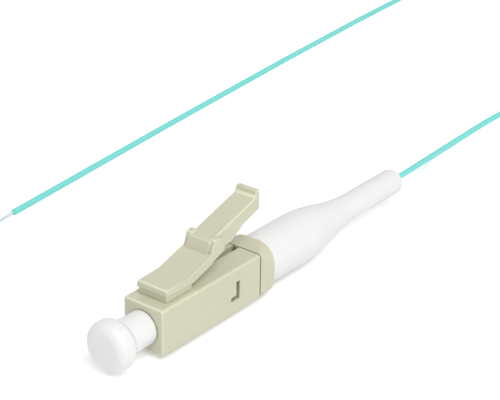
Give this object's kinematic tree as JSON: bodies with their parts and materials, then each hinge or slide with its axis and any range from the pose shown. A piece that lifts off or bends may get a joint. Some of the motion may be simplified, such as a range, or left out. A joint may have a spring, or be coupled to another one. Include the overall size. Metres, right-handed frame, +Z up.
{
  "type": "lc fibre connector",
  "caption": "Square latched fibre-optic plug with a dust cap, a round boot and a slim tight-buffered pigtail whose far end is stripped.",
  "frame": {"origin": "on the resting surface, under the middle of the plug's box from the dust cap's face to the boot's tip", "axes": "+X back along the fibre axis from the mating end to the boot, +Y across the plug, +Z up through the latch"},
  "size_m": [0.1197, 0.0448, 0.0108],
  "materials": {
    "cap_plastic": "soft white moulded plastic",
    "beige_plastic": "beige moulded plastic",
    "ceramic": "polished white ceramic",
    "holder_metal": "turned nickel-plated metal",
    "spring_steel": "drawn steel wire",
    "fibre_glass": "bare glass fibre",
    "clear_tube": "waxy translucent tube",
    "aqua_buffer": "aqua tight buffer",
    "boot_rubber": "soft white moulded boot",
    "tie_film": "thin white band",
    "fibre_coating": "clear coating over glass"
  },
  "bodies": {
    "root": {"plug_housing": "beige_plastic", "rear_body": "beige_plastic", "boot": "boot_rubber", "boot_buffer": "aqua_buffer", "ferrule_spring": "spring_steel", "cord_to_coil": "aqua_buffer", "cord_coil": "aqua_buffer", "coil_tie": "tie_film", "cord_from_coil": "aqua_buffer", "coated_fibre": "fibre_coating"},
    "latch": {"latch_lever": "beige_plastic"},
    "ferrule_set": {"ferrule": "ceramic", "ferrule_holder": "holder_metal", "glass_fibre": "fibre_glass", "guide_tube": "clear_tube", "held_buffer": "aqua_buffer"},
    "cap": {"dust_cap": "cap_plastic"}
  },
  "joints": [
    {"name": "latch_press", "type": "hinge", "parent": "root", "child": "latch", "pos_m": [-0.01218, 0, 0.00608], "axis": [0, 1, 0], "range_deg": [0, 15], "stiffness_Nm_per_rad": 0.15},
    {"name": "ferrule_slide", "type": "slide", "parent": "root", "child": "ferrule_set", "axis": [1, 0, 0], "range_m": [0, 0.0012], "stiffness_N_per_m": 1500, "deforming": ["ferrule_spring"]},
    {"name": "dust_cap_pull", "type": "slide", "parent": "root", "child": "cap", "axis": [-1, 0, 0], "range_m": [0, 0.008]}
  ]
}
